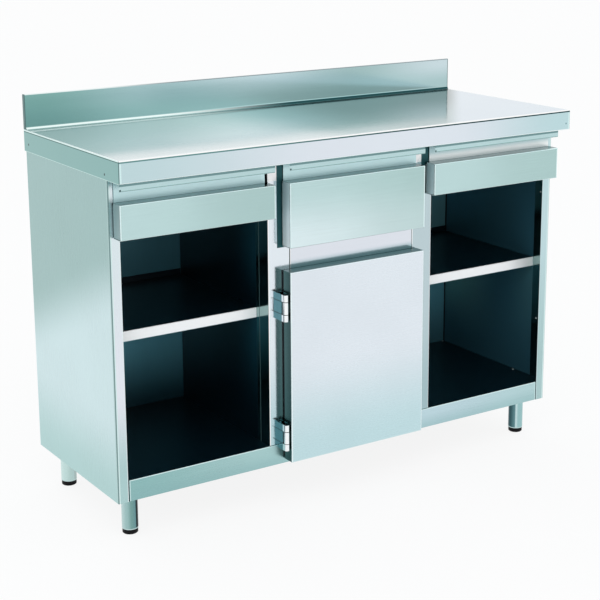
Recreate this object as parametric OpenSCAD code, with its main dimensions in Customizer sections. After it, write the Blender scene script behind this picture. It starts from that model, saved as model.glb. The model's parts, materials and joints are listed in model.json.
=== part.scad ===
// Coffee station counter: a folded steel worktop with a splash, on a carcass of
// two open bays, a cupboard, three drawers and four adjustable legs.
// X runs along the counter, the front faces -Y, and Z is up from the floor.

/* [Worktop] */
// Width of the worktop, end to end
top_w = 1500; // [1350:10:1800]
// Depth of the worktop, front to back
top_d = 600; // [560:10:750]
// Height of the worktop above the floor
top_h = 1050; // [1000:10:1150]
// Height of the apron folded down along the front and the ends
apron_h = 60; // [50:1:80]
// Depth of the hem folded back under the front apron
apron_hem = 15; // [8:1:25]
// Height of the splash above the worktop
splash_h = 100; // [60:5:160]
// Thickness of the splash
splash_t = 12; // [9:1:20]
// Radius of the cove at the foot of the splash
cove_r = 10; // [6:1:16]
// Outer radius of the front edge of the worktop
edge_r = 5; // [3:0.5:8]
// Outer radius of the top edges of the splash
splash_r = 3; // [2.5:0.5:4]
// Thickness of the worktop sheet
top_sheet = 1.5; // [1:0.1:2]
// Thickness of the board under the worktop sheet
board_t = 18; // [12:1:25]
// Diameter of the screws that hold the board
board_screw_d = 4; // [3:0.5:6]
// Length of those screws inside the board
board_screw_l = 12; // [8:1:12]
// Distance of the outer screws from the ends of the worktop
board_screw_end = 120; // [80:10:200]
// Distance of the inner screws from the middle of the worktop
board_screw_mid = 240; // [150:10:300]

/* [Carcass] */
// How far the worktop stands out in front of the carcass
overhang = 75; // [65:1:100]
// Gap from the back of the carcass to the back of the worktop
back_gap = 5; // [2:1:20]
// Gap between the end aprons and the side panels
side_gap = 0.5; // [0.3:0.1:2]
// Thickness of the carcass sheet
body_sheet = 1.2; // [0.8:0.1:2]
// Outer radius of the carcass folds
fold_r = 2.5; // [2.2:0.1:4]
// Width of the return at the front of each side panel
side_return = 30; // [20:1:40]
// Width of the return at the back of each side panel
rear_return = 20; // [12:1:30]
// Depth of the folded edge of the back panel
back_fold = 10; // [6:1:20]
// Height of the rail along the foot of the carcass
base_rail_h = 60; // [45:1:80]
// Depth of the hem under that rail
base_hem = 15; // [8:1:25]
// Distance of the outside of the left divider from the counter's middle
left_divider_x = 275; // [268:1:280]
// Distance of the outside of the right divider from the counter's middle
right_divider_x = 286; // [280:1:292]
// Width of each divider
divider_w = 70; // [64:1:90]
// Depth of the post at the front of each divider
post_d = 50; // [35:1:60]
// Depth of the top rails and of the cross rail
rail_d = 30; // [20:1:40]
// Height of the cross rail over the cupboard
cross_rail_h = 100; // [80:1:120]
// Width of each beam that the legs are bolted to
beam_w = 110; // [100:1:130]
// Thickness of the beams
beam_sheet = 2; // [1.5:0.1:3]

/* [Shelves] */
// Height of the shelves above the floor of the bays
shelf_rise = 391; // [300:1:480]
// Distance of the shelves behind the front of the carcass
shelf_setback = 64; // [40:1:120]
// Height of the front edge of a shelf
shelf_edge_h = 29; // [20:1:40]
// Depth of the hem under that edge
shelf_hem = 14; // [8:1:20]
// Height of the upstand at the back of a shelf
shelf_upstand = 18; // [10:1:30]
// Leg of the angles that carry a shelf
angle_leg = 20; // [15:1:30]
// Length of those angles
angle_l = 400; // [300:10:410]

/* [Drawers] */
// Depth of the folded drawer fronts and of the door
front_t = 40; // [34:1:46]
// Gap between the fronts and the carcass
front_gap = 2; // [1:0.1:4]
// Thickness of the sheet of the fronts
front_sheet = 1.2; // [0.8:0.1:1.6]
// Height of the face of a side drawer
side_face_h = 93; // [85:1:120]
// Height of the face of the deep centre drawer
deep_face_h = 182; // [150:1:220]
// Height of the finger gap above a face
grip_gap = 34; // [28:1:45]
// Height of the lip above the finger gap
lip_h = 22; // [15:1:30]
// Distance of the ends of a finger gap's back from the ends of its face
grip_inset = 3; // [0:1:12]
// The same distance at the end of a side drawer that is next to the centre drawer
slot_inset = 10; // [3:1:14]
// Clearance between the lips and the apron
lip_clear = 3; // [2:0.5:6]
// Distance of the outer drawers' ends from the ends of the worktop
side_reveal = 14; // [8:1:20]
// Gap between the left drawer and the centre fronts
left_gap = 46; // [40:1:52]
// Gap between the centre fronts and the right drawer
right_gap = 35; // [30:1:45]
// Thickness of the drawer boxes
box_sheet = 1; // [0.8:0.1:1.6]
// How far a box ends below the top of its face
box_drop = 6; // [4:1:12]
// How far a box starts above the foot of its face
box_rise = 15; // [13:1:25]
// How far the centre drawer and the door cover the cross rail
rail_cover = 11; // [5:1:11]
// Length of the drawer runners
runner_l = 450; // [350:10:460]
// Height of the drawer runners
runner_h = 45; // [38:1:48]
// Thickness of a closed runner
runner_t = 12.7; // [12:0.1:16]
// Thickness of the runner steel
runner_sheet = 1.2; // [1:0.1:1.5]
// Depth of the outer member of a runner
outer_member_t = 8; // [6:0.5:9]
// Distance of the runners behind the front of the carcass
runner_setback = 3; // [3:1:10]
// How far a spacer stands above and below its runner
spacer_rise = 2; // [1:1:5]
// Diameter of the knock bar in the deep drawer
knock_bar_d = 20; // [14:1:24]
// Wall of the rubber sleeve on the knock bar
sleeve_wall = 7; // [4:0.5:9]
// Distance of the sleeve's ends from the walls of the drawer
sleeve_inset = 12; // [6:1:30]
// Distance of the knock bar behind the front of the box
knock_bar_y = 105; // [80:1:200]

/* [Door] */
// Height of the foot of the door above the foot of the carcass
door_rise = 15; // [5:1:30]
// How far the top of the door covers the cross rail
door_cover = 21; // [12:1:30]
// Depth of the fold of the door's inner panel
inner_fold = 10; // [6:1:15]
// Distance of the hinge axis in front of the back of the door
hinge_axis_d = 28; // [26:1:32]
// Height of a hinge
hinge_h = 76; // [60:1:90]
// Height of the knuckles at the two ends of a hinge
end_knuckle_h = 20; // [14:1:22]
// Diameter of the hinge knuckles
knuckle_d = 16; // [13:1:18]
// Diameter of the hinge pins
pin_d = 8; // [6:0.5:9]
// Thickness of the hinge leaves
leaf_t = 3; // [2:0.5:3.5]
// Distance of the moving leaves in front of the back of the door
leaf_inset = 2; // [1:1:5]
// Diameter of the screws through the moving leaves
hinge_screw_d = 4; // [3:0.5:4]
// Length of those screws under the head
hinge_screw_l = 6; // [5:0.5:7]
// Distance of those screws from the ends of a hinge
hinge_screw_inset = 10; // [8:1:14]
// Distance of those screws behind the hinge axis
hinge_screw_reach = 14.5; // [13.5:0.5:15]
// Distance of the lower hinge above the foot of the door
low_hinge_rise = 35; // [20:1:80]
// Distance of the upper hinge below the top of the door
high_hinge_drop = 63; // [40:1:120]
// Gap between neighbouring knuckles
knuckle_gap = 0.5; // [0.3:0.1:1]
// Gap between a knuckle and the notch that it turns in
swing_gap = 1.5; // [1:0.5:3]
// Height of the caps on the hinge pins
pin_cap_h = 2; // [1:0.5:3]
// How far those caps stand out round the pins
pin_cap_rim = 2; // [1:0.5:3]
// Diameter of the rubber buffers behind the door
buffer_d = 9; // [6:1:12]
// Distance of the buffers from the top and foot of the opening
buffer_inset = 25; // [15:1:60]
// Width of the magnetic catch
catch_w = 20; // [14:1:24]
// Height of the magnetic catch
catch_h = 44; // [30:1:60]
// Distance of the strike plate from the side of the opening
strike_gap = 2; // [1:1:4]

/* [Legs] */
// Height of the carcass above the floor
leg_h = 115; // [100:1:160]
// Diameter of the leg tubes
leg_d = 45; // [38:1:50]
// Wall of the leg tubes
leg_wall = 1.5; // [1:0.1:2.5]
// Distance of the legs from the sides of the carcass
leg_inset = 60; // [56:1:70]
// Width of the square flange on top of a leg
flange_w = 88; // [76:1:88]
// Thickness of that flange
flange_t = 3; // [2:0.5:5]
// Height of the plastic foot that shows below a tube
foot_h = 14; // [10:1:25]
// Diameter of the threaded stem of a foot
stem_d = 12; // [8:1:16]
// Height of the threaded insert in a tube
insert_h = 25; // [15:1:35]
// How much smaller than its tube a foot is, all round
pad_inset = 1; // [0.5:0.5:3]
// Height of the chamfer under a foot
foot_chamfer = 2; // [1:0.5:4]
// How far the stem of a foot stands above its insert
stem_over = 12; // [6:1:20]
// Diameter of the bolts that hold the legs
bolt_d = 8; // [6:1:8]
// Distance of the bolts from the edges of a flange
bolt_edge = 10; // [9:1:12]

/* [Hidden] */
$fn = 64;
// Running clearance, and the smallest gap between pieces of two moving bodies
clear = 0.3;
// How far a cut runs past the face that it opens
cut = 1;
// Width, head height and nut height of a hexagon bolt, as multiples of its diameter
hex_w = 1.8;
hex_head = 0.65;
hex_nut = 0.8;
// Head width and head height of a round-headed screw, as multiples of its diameter
screw_head_w = 2;
screw_head_h = 0.6;
steel = [0.74, 0.78, 0.77];
bright_steel = [0.84, 0.86, 0.87];
front_steel = [0.80, 0.85, 0.85];
black_plastic = [0.06, 0.06, 0.07];
rubber = [0.10, 0.10, 0.10];
board_colour = [0.62, 0.50, 0.36];
core_colour = [0.85, 0.82, 0.70];

top_front = -top_d / 2;
top_back = top_d / 2;
apron_z = top_h - apron_h;
board_z = top_h - top_sheet - board_t;
body_x = top_w / 2 - top_sheet - side_gap;
web_x = body_x - body_sheet;
return_x = body_x - side_return;
body_front = top_front + overhang;
body_back = top_back - back_gap;
back_face = body_back - body_sheet - back_fold;
back_rim = body_back - fold_r - clear;
base_z = leg_h;
floor_z = base_z + base_rail_h;
left_in = left_divider_x - divider_w;
right_in = right_divider_x - divider_w;

face_y = body_front - front_gap - front_t;
front_rear = body_front - front_gap;
lip_top = apron_z - lip_clear;
lip_foot = lip_top - lip_h;
face_top = lip_foot - grip_gap;
box_top = face_top - box_drop;
runner_y = body_front + runner_setback;
runner_z = (face_top + face_top - side_face_h) / 2;
front_x = top_w / 2 - side_reveal;
centre_x = left_divider_x - left_gap;

cross_top = face_top - deep_face_h + rail_cover;
cross_foot = cross_top - cross_rail_h;
door_foot = base_z + door_rise;
door_top = cross_foot + door_cover;
knuckle_r = knuckle_d / 2;
leaf_side = knuckle_r - leaf_t / 2;
notch = knuckle_r + swing_gap;
axis_x = -centre_x - leaf_t - leaf_side;
axis_y = front_rear - hinge_axis_d;
low_hinge_z = door_foot + low_hinge_rise;
high_hinge_z = door_top - high_hinge_drop - hinge_h;
catch_z = high_hinge_z + hinge_h / 2 - catch_h / 2;

shelf_z = floor_z + shelf_rise;
leg_x = body_x - leg_inset;
leg_front = body_front + leg_inset;
leg_rear = body_back - leg_inset;
bolt_step = flange_w / 2 - bolt_edge;
tube_foot = foot_h + clear;

function unit(v) = v / norm(v);

// Draws a box between two opposite corners
module block(low, high) {
    translate(low)
        cube(high - low);
}

// Extrudes an outline of Y and Z along the counter
module along_x(start, length) {
    translate([start, 0, 0])
        rotate([90, 0, 90])
            linear_extrude(length)
                children();
}

// Extrudes an outline of X and Z from front to back
module along_y(start, length) {
    translate([0, start + length, 0])
        rotate([90, 0, 0])
            linear_extrude(length)
                children();
}

// Draws a folded sheet in section: a strip of even thickness along a path of
// square turns, each bent to its own radius, which is measured to the middle
module folded(path, thickness, radii) {
    last = len(path) - 1;
    for (i = [0 : last - 1]) {
        way = unit(path[i + 1] - path[i]);
        start = path[i] + (i == 0 ? 0 : radii[i - 1]) * way;
        end = path[i + 1] - (i == last - 1 ? 0 : radii[i]) * way;
        translate(start)
            rotate(atan2(way.y, way.x))
                translate([0, -thickness / 2])
                    square([norm(end - start), thickness]);
    }
    for (i = [1 : last - 1]) {
        way_in = unit(path[i] - path[i - 1]);
        way_out = unit(path[i + 1] - path[i]);
        middle = way_in - way_out;
        radius = radii[i - 1];
        translate(path[i] + radius * (way_out - way_in))
            rotate(atan2(middle.y, middle.x) - 45)
                intersection() {
                    difference() {
                        circle(radius + thickness / 2);
                        circle(radius - thickness / 2);
                    }
                    square(radius + thickness);
                }
    }
}

// Repeats a piece on both sides of the counter's middle
module both_sides() {
    children();
    mirror([1, 0, 0])
        children();
}

// Folded worktop: front apron, cove, splash and closed ends in one sheet
module worktop() {
    half = top_sheet / 2;
    front = top_front + half;
    splash_face = top_back - splash_t + half;
    back = top_back - half;
    plate = top_h - half;
    section = [
        [front + apron_hem - half, apron_z + half],
        [front, apron_z + half],
        [front, plate],
        [splash_face, plate],
        [splash_face, top_h + splash_h - half],
        [back, top_h + splash_h - half],
        [back, apron_z]
    ];
    bends = [
        edge_r - half, edge_r - half, cove_r + half, splash_r - half, splash_r - half
    ];
    color(bright_steel) {
        along_x(-top_w / 2, top_w)
            folded(section, top_sheet, bends);
        both_sides()
            along_x(top_w / 2 - top_sheet, top_sheet)
                worktop_end();
    }
}

// Outline of the plate that closes an end of the worktop and splash
module worktop_end() {
    translate([top_front + edge_r, apron_z])
        square([top_d - edge_r, apron_h]);
    translate([top_front, apron_z + edge_r])
        square([edge_r, apron_h - 2 * edge_r]);
    translate([top_front + edge_r, apron_z + edge_r])
        circle(edge_r);
    translate([top_front + edge_r, top_h - edge_r])
        circle(edge_r);
    translate([top_back - splash_t, top_h])
        square([splash_t, splash_h - splash_r]);
    translate([top_back - splash_t + splash_r, top_h])
        square([splash_t - 2 * splash_r, splash_h]);
    translate([top_back - splash_t + splash_r, top_h + splash_h - splash_r])
        circle(splash_r);
    translate([top_back - splash_r, top_h + splash_h - splash_r])
        circle(splash_r);
}

// Places a child at each screw that holds the worktop board
module at_board_screws() {
    outer = top_w / 2 - board_screw_end;
    for (x = [-outer, -board_screw_mid, board_screw_mid, outer])
        for (y = [body_front + rail_d / 2, back_face - rail_d / 2])
            translate([x, y, board_z])
                children();
}

// Water-resistant board that stiffens the worktop sheet
module worktop_board() {
    end = top_w / 2 - top_sheet - side_gap;
    color(board_colour)
        difference() {
            block([-end, top_front + edge_r, board_z], [end, body_back, board_z + board_t]);
            at_board_screws()
                translate([0, 0, -cut])
                    cylinder(d = board_screw_d, h = board_screw_l + cut);
        }
}

// Screws up through the top rails into the board
module worktop_screws() {
    head_h = board_screw_d * screw_head_h;
    color(steel)
        at_board_screws() {
            translate([0, 0, -body_sheet - head_h])
                cylinder(d = board_screw_d * screw_head_w, h = head_h);
            translate([0, 0, -body_sheet - head_h / 2])
                cylinder(d = board_screw_d, h = board_screw_l + body_sheet + head_h / 2);
        }
}

// C-shaped rail, open towards the back when way is 1 and to the front when -1
module c_rail(left, right, front, way, foot, top) {
    half = body_sheet / 2;
    section = [
        [front + way * rail_d, foot + half],
        [front + way * half, foot + half],
        [front + way * half, top - half],
        [front + way * rail_d, top - half]
    ];
    along_x(left, right - left)
        folded(section, body_sheet, [fold_r - half, fold_r - half]);
}

// Drills the holes of the board's screws through a rail
module drill_board_screws() {
    difference() {
        children();
        at_board_screws()
            translate([0, 0, -body_sheet - cut])
                cylinder(d = board_screw_d + 2 * clear, h = body_sheet + 2 * cut);
    }
}

// Rail under the front of the worktop, behind the lips of the drawers
module top_front_rail() {
    reach = return_x - clear;
    color(steel)
        drill_board_screws()
            c_rail(-reach, reach, body_front, 1, apron_z, board_z);
}

// Rail under the back of the worktop
module top_back_rail() {
    reach = web_x - clear;
    color(steel)
        drill_board_screws()
            c_rail(-reach, reach, back_face, -1, apron_z, board_z);
}

// Side panel with a wide return in front and a narrow one behind, on the right
module side_panel() {
    half = body_sheet / 2;
    section = [
        [return_x, body_front + half],
        [body_x - half, body_front + half],
        [body_x - half, body_back - half],
        [body_x - rear_return, body_back - half]
    ];
    color(steel)
        translate([0, 0, base_z])
            linear_extrude(board_z - base_z)
                folded(section, body_sheet, [fold_r - half, fold_r - half]);
}

module right_side_panel() {
    side_panel();
}

module left_side_panel() {
    mirror([1, 0, 0])
        side_panel();
}

// Channel at the front of a right-hand divider, with its outside at X
module divider_post(outside) {
    half = body_sheet / 2;
    rear = body_front + post_d;
    inside = outside - divider_w;
    section = [
        [inside + half, rear],
        [inside + half, body_front + half],
        [outside - half, body_front + half],
        [outside - half, rear]
    ];
    color(bright_steel)
        translate([0, 0, floor_z])
            linear_extrude(apron_z - floor_z)
                folded(section, body_sheet, [fold_r - half, fold_r - half]);
}

module right_divider_post() {
    divider_post(right_divider_x);
}

module left_divider_post() {
    mirror([1, 0, 0])
        divider_post(left_divider_x);
}

// Two skins and the back of a right-hand divider, flush behind its post
module divider_panel(outside) {
    half = body_sheet / 2;
    start = body_front + post_d + clear;
    inside = outside - divider_w;
    section = [
        [inside + half, start],
        [inside + half, back_face - half],
        [outside - half, back_face - half],
        [outside - half, start]
    ];
    color(steel)
        translate([0, 0, floor_z])
            linear_extrude(apron_z - floor_z)
                folded(section, body_sheet, [fold_r - half, fold_r - half]);
}

module right_divider_panel() {
    divider_panel(right_divider_x);
}

module left_divider_panel() {
    mirror([1, 0, 0])
        divider_panel(left_divider_x);
}

// Rail between the centre drawer and the cupboard
module cross_rail() {
    color(bright_steel)
        c_rail(-left_in, right_in, body_front, 1, cross_foot, cross_top);
}

// Back of the carcass, a shallow pan with its edges folded backwards: they end
// short of the rounded folds at the rear of the side panels
module back_panel() {
    half_w = web_x - clear;
    inner = half_w - body_sheet;
    color(steel)
        difference() {
            block([-half_w, back_face, base_z], [half_w, back_rim, board_z]);
            block(
                [-inner, back_face + body_sheet, base_z + body_sheet],
                [inner, back_rim + cut, board_z - body_sheet]
            );
        }
}

// Floor of the bays and cupboard, folded down in front into the base rail
module base_tray() {
    half = body_sheet / 2;
    section = [
        [body_front + base_hem, base_z + half],
        [body_front + half, base_z + half],
        [body_front + half, floor_z - half],
        [back_face, floor_z - half]
    ];
    reach = return_x - clear;
    color(steel) {
        along_x(-reach, 2 * reach)
            folded(section, body_sheet, [fold_r - half, fold_r - half]);
        both_sides()
            block(
                [reach - cut, body_front + 2 * body_sheet, floor_z - body_sheet],
                [web_x, back_face, floor_z]
            );
    }
}

// Trough under the floor that the right-hand legs are bolted to
module base_beam() {
    outside = web_x - clear;
    foot_y = body_front + base_hem + clear;
    color(steel)
        difference() {
            block([outside - beam_w, foot_y, base_z], [outside, back_face, floor_z - body_sheet]);
            block(
                [outside - beam_w + beam_sheet, foot_y - cut, base_z + beam_sheet],
                [outside - beam_sheet, back_face + cut, floor_z]
            );
            for (y = [leg_front, leg_rear])
                at_bolts(leg_x, y)
                    translate([0, 0, -cut])
                        cylinder(d = bolt_d + 2 * clear, h = beam_sheet + 2 * cut);
        }
}

module right_base_beam() {
    base_beam();
}

module left_base_beam() {
    mirror([1, 0, 0])
        base_beam();
}

// Shelf from a right-hand divider to the side panel, with a deep front edge
// and an upstand behind
module shelf(divider_x) {
    half = body_sheet / 2;
    front = body_front + shelf_setback + half;
    back = back_face - clear - half;
    section = [
        [front + shelf_hem, shelf_z - shelf_edge_h + half],
        [front, shelf_z - shelf_edge_h + half],
        [front, shelf_z - half],
        [back, shelf_z - half],
        [back, shelf_z + shelf_upstand]
    ];
    bend = fold_r - half;
    color(bright_steel)
        along_x(divider_x + clear, web_x - divider_x - 2 * clear)
            folded(section, body_sheet, [bend, bend, bend]);
}

module right_shelf() {
    shelf(right_divider_x);
}

module left_shelf() {
    mirror([1, 0, 0])
        shelf(left_divider_x);
}

// Two angles that carry that shelf
module shelf_angles(divider_x) {
    top = shelf_z - body_sheet;
    start = back_face - angle_l - 2 * fold_r;
    color(steel) {
        block([divider_x, start, top - body_sheet], [divider_x + angle_leg, start + angle_l, top]);
        block([divider_x, start, top - angle_leg], [divider_x + body_sheet, start + angle_l, top]);
        block([web_x - angle_leg, start, top - body_sheet], [web_x, start + angle_l, top]);
        block([web_x - body_sheet, start, top - angle_leg], [web_x, start + angle_l, top]);
    }
}

module right_shelf_angles() {
    shelf_angles(right_divider_x);
}

module left_shelf_angles() {
    mirror([1, 0, 0])
        shelf_angles(left_divider_x);
}

// Channel that brings the right side panel out to the drawer runner
module runner_spacer() {
    low = runner_z - runner_h / 2 - spacer_rise;
    high = runner_z + runner_h / 2 + spacer_rise;
    color(steel)
        difference() {
            block([return_x, runner_y, low], [web_x, runner_y + runner_l, high]);
            block(
                [return_x + body_sheet, runner_y - cut, low + body_sheet],
                [web_x + cut, runner_y + runner_l + cut, high - body_sheet]
            );
        }
}

module right_runner_spacer() {
    runner_spacer();
}

module left_runner_spacer() {
    mirror([1, 0, 0])
        runner_spacer();
}

// Channel of a runner, its web at one depth and its flanges reaching to another
module runner_channel(web, lips, height) {
    way = sign(lips - web);
    color(bright_steel)
        along_y(runner_y, runner_l) {
            translate([min(web, web + way * runner_sheet), runner_z - height / 2])
                square([runner_sheet, height]);
            for (z = [runner_z - height / 2, runner_z + height / 2 - runner_sheet])
                translate([min(web, lips), z])
                    square([abs(lips - web), runner_sheet]);
        }
}

// The three nested members of a runner on a right-hand wall at X = 0
module outer_member() {
    runner_channel(0, -outer_member_t, runner_h);
}

module middle_member() {
    web = -runner_sheet - clear;
    reach = -runner_t + 2 * runner_sheet;
    runner_channel(web, reach, runner_h - 2 * runner_sheet - 2 * clear);
}

module inner_member() {
    reach = -2 * runner_sheet - 3 * clear;
    runner_channel(-runner_t, reach, runner_h - 4 * runner_sheet - 4 * clear);
}

// Places a right-hand member and its mirror image at the walls of a side bay
module in_side_bay(divider_x) {
    translate([return_x, 0, 0])
        children();
    translate([divider_x, 0, 0])
        mirror([1, 0, 0])
            children();
}

module in_right_bay() {
    in_side_bay(right_divider_x)
        children();
}

module in_left_bay() {
    mirror([1, 0, 0])
        in_side_bay(left_divider_x)
            children();
}

module in_centre_bay() {
    translate([right_in, 0, 0])
        children();
    mirror([1, 0, 0])
        translate([left_in, 0, 0])
            children();
}

module left_outer_runners() {
    in_left_bay()
        outer_member();
}

module centre_outer_runners() {
    in_centre_bay()
        outer_member();
}

module right_outer_runners() {
    in_right_bay()
        outer_member();
}

module left_middle_runners() {
    in_left_bay()
        middle_member();
}

module centre_middle_runners() {
    in_centre_bay()
        middle_member();
}

module right_middle_runners() {
    in_right_bay()
        middle_member();
}

module left_inner_runners() {
    in_left_bay()
        inner_member();
}

module centre_inner_runners() {
    in_centre_bay()
        inner_member();
}

module right_inner_runners() {
    in_right_bay()
        inner_member();
}

// Folded drawer front between two places along X: a hollow face, a lip above it
// in the same plane, and the back of the finger gap, which joins the two
module drawer_front(left, right, face_h, left_inset, right_inset) {
    half = front_sheet / 2;
    face = face_y + half;
    rear = front_rear - half;
    foot = face_top - face_h;
    bend = fold_r - half;
    pan = [
        [rear, face_top - half],
        [face, face_top - half],
        [face, foot + half],
        [rear, foot + half],
        [rear, face_top - front_sheet - 2 * fold_r]
    ];
    lip = [
        [face, lip_foot],
        [face, lip_top - half],
        [rear, lip_top - half]
    ];
    color(front_steel) {
        along_x(left, right - left)
            folded(pan, front_sheet, [bend, bend, bend]);
        along_x(left, right - left)
            folded(lip, front_sheet, [bend]);
        block(
            [left + left_inset, front_rear - front_sheet, face_top - front_sheet],
            [right - right_inset, front_rear, lip_top]
        );
        for (end = [left, right - front_sheet])
            block(
                [end, face_y + fold_r, foot + fold_r],
                [end + front_sheet, front_rear - fold_r, face_top - half]
            );
    }
}

module right_drawer_front() {
    drawer_front(centre_x + right_gap, front_x, side_face_h, slot_inset, grip_inset);
}

module left_drawer_front() {
    drawer_front(-front_x, -left_divider_x, side_face_h, grip_inset, slot_inset);
}

module centre_drawer_front() {
    drawer_front(-centre_x, centre_x, deep_face_h, grip_inset, grip_inset);
}

// Open box of a drawer, between its two inner runner members
module drawer_box(left, right, face_h) {
    foot = face_top - face_h + box_rise;
    rear = runner_y + runner_l;
    color(steel)
        difference() {
            block([left, front_rear, foot], [right, rear, box_top]);
            block(
                [left + box_sheet, front_rear + box_sheet, foot + box_sheet],
                [right - box_sheet, rear - box_sheet, box_top + cut]
            );
        }
}

module right_drawer_box() {
    drawer_box(right_divider_x + runner_t, return_x - runner_t, side_face_h);
}

module left_drawer_box() {
    drawer_box(-return_x + runner_t, -left_divider_x - runner_t, side_face_h);
}

module centre_drawer_box() {
    drawer_box(-left_in + runner_t, right_in - runner_t, deep_face_h);
}

// Draws along the line of the knock bar, from wall to wall of the deep box
module on_knock_bar(inset) {
    wall = runner_t + box_sheet + inset;
    drop = knock_bar_d / 2 + sleeve_wall + box_drop;
    along_x(-left_in + wall, left_in + right_in - 2 * wall)
        translate([front_rear + knock_bar_y, box_top - drop])
            children();
}

// Steel bar across the deep drawer, for knocking out coffee grounds
module knock_bar() {
    color(bright_steel)
        on_knock_bar(0)
            circle(d = knock_bar_d);
}

// Rubber sleeve on the knock bar
module knock_bar_sleeve() {
    color(rubber)
        on_knock_bar(sleeve_inset)
            difference() {
                circle(d = knock_bar_d + 2 * sleeve_wall);
                circle(d = knock_bar_d + clear);
            }
}

// Places a hinge at each of its two heights, with its axis as the origin
module at_hinges() {
    for (z = [low_hinge_z, high_hinge_z])
        translate([axis_x, axis_y, z])
            children();
}

// One knuckle of a hinge, with its bore
module knuckle(foot, top, bore) {
    translate([0, 0, foot])
        difference() {
            cylinder(d = knuckle_d, h = top - foot);
            translate([0, 0, -cut])
                cylinder(d = bore, h = top - foot + 2 * cut);
        }
}

// Leaf and end knuckles that are welded to the left divider post
module fixed_hinge_leaves() {
    color(bright_steel)
        at_hinges() {
            difference() {
                union() {
                    for (z = [0, hinge_h - end_knuckle_h])
                        knuckle(z, z + end_knuckle_h, pin_d);
                    difference() {
                        block([-knuckle_r, 0, 0], [-knuckle_r + leaf_t, body_front - axis_y, hinge_h]);
                        cylinder(d = pin_d, h = hinge_h);
                    }
                }
                block(
                    [-knuckle_d, -cut, end_knuckle_h],
                    [knuckle_d, notch, hinge_h - end_knuckle_h]
                );
            }
        }
}

// Leaf and middle knuckle that are screwed to the edge of the door
module door_hinge_leaves() {
    low = end_knuckle_h + knuckle_gap;
    high = hinge_h - end_knuckle_h - knuckle_gap;
    depth = hinge_axis_d - leaf_inset;
    color(bright_steel)
        drill_hinge_screws()
            at_hinges() {
                knuckle(low, high, pin_d + 2 * clear);
                difference() {
                    block([leaf_side, 0, low], [leaf_side + leaf_t, depth, high]);
                    cylinder(d = pin_d + 2 * clear, h = hinge_h);
                }
                block([leaf_side, notch, 0], [leaf_side + leaf_t, depth, hinge_h]);
            }
}

// Places a child at each hinge screw, on the outside of the leaf and pointing in
module at_hinge_screws() {
    at_hinges()
        for (z = [hinge_screw_inset, hinge_h - hinge_screw_inset])
            translate([leaf_side, hinge_screw_reach, z])
                rotate([0, 90, 0])
                    children();
}

// Drills the holes of the hinge screws through a leaf or the edge of the door
module drill_hinge_screws() {
    difference() {
        children();
        at_hinge_screws()
            translate([0, 0, -cut])
                cylinder(d = hinge_screw_d + 2 * clear, h = hinge_screw_l + 2 * cut);
    }
}

// Screws through the moving leaves and the edge of the door
module door_hinge_screws() {
    head_h = hinge_screw_d * screw_head_h;
    color(steel)
        at_hinge_screws() {
            translate([0, 0, -head_h])
                cylinder(d = hinge_screw_d * screw_head_w, h = head_h);
            translate([0, 0, -head_h / 2])
                cylinder(d = hinge_screw_d, h = hinge_screw_l + head_h / 2);
        }
}

// Pins of the two hinges, with small tapered caps
module hinge_pins() {
    color(bright_steel)
        at_hinges() {
            cylinder(d = pin_d, h = hinge_h);
            translate([0, 0, hinge_h])
                cylinder(d1 = pin_d + 2 * pin_cap_rim, d2 = pin_d, h = pin_cap_h);
        }
}

// Outer pan of the door
module door_outer_panel() {
    half = front_sheet / 2;
    bend = fold_r - half;
    section = [
        [-centre_x + half, front_rear],
        [-centre_x + half, face_y + half],
        [centre_x - half, face_y + half],
        [centre_x - half, front_rear]
    ];
    color(front_steel) {
        drill_hinge_screws()
            translate([0, 0, door_foot])
                linear_extrude(door_top - door_foot)
                    folded(section, front_sheet, [bend, bend]);
        for (z = [door_foot, door_top - front_sheet])
            block(
                [-centre_x + half, face_y + fold_r, z],
                [centre_x - half, front_rear, z + front_sheet]
            );
    }
}

// Inner pan of the door, pushed into the outer one
module door_inner_panel() {
    half_w = centre_x - front_sheet;
    low = door_foot + front_sheet;
    high = door_top - front_sheet;
    color(steel)
        difference() {
            block([-half_w, front_rear - inner_fold, low], [half_w, front_rear, high]);
            block(
                [-half_w + front_sheet, front_rear - inner_fold - cut, low + front_sheet],
                [half_w - front_sheet, front_rear - front_sheet, high - front_sheet]
            );
        }
}

// Sound-deadening board inside the door
module door_core() {
    half_w = centre_x - 2 * front_sheet - clear;
    low = door_foot + 2 * front_sheet + clear;
    high = door_top - 2 * front_sheet - clear;
    color(core_colour)
        block(
            [-half_w + fold_r, face_y + front_sheet, low],
            [half_w - fold_r, front_rear - front_sheet, high]
        );
}

// Rubber buffers between the free edge of the door and the right post
module door_buffers() {
    x = (right_in + centre_x) / 2;
    color(rubber)
        for (z = [floor_z + buffer_inset, cross_foot - buffer_inset])
            translate([x, front_rear, z])
                rotate([-90, 0, 0])
                    cylinder(d = buffer_d, h = front_gap - clear);
}

// Thin steel plate on the door that the magnet holds
module door_strike_plate() {
    color(bright_steel)
        block(
            [right_in - catch_w, front_rear, catch_z],
            [right_in - strike_gap, front_rear + front_gap - 2 * clear, catch_z + catch_h]
        );
}

// Magnetic catch on the inside of the right post
module magnetic_catch() {
    color(black_plastic)
        block(
            [right_in - catch_w, body_front, catch_z],
            [right_in, body_front + post_d / 2, catch_z + catch_h]
        );
}

// Places a child at each of the four legs
module at_legs() {
    for (x = [-leg_x, leg_x])
        for (y = [leg_front, leg_rear])
            translate([x, y, 0])
                children();
}

// Places a child at the four bolts of the leg at x and y, on the beam's foot
module at_bolts(x, y) {
    for (dx = [-bolt_step, bolt_step])
        for (dy = [-bolt_step, bolt_step])
            translate([x + dx, y + dy, base_z])
                children();
}

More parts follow.
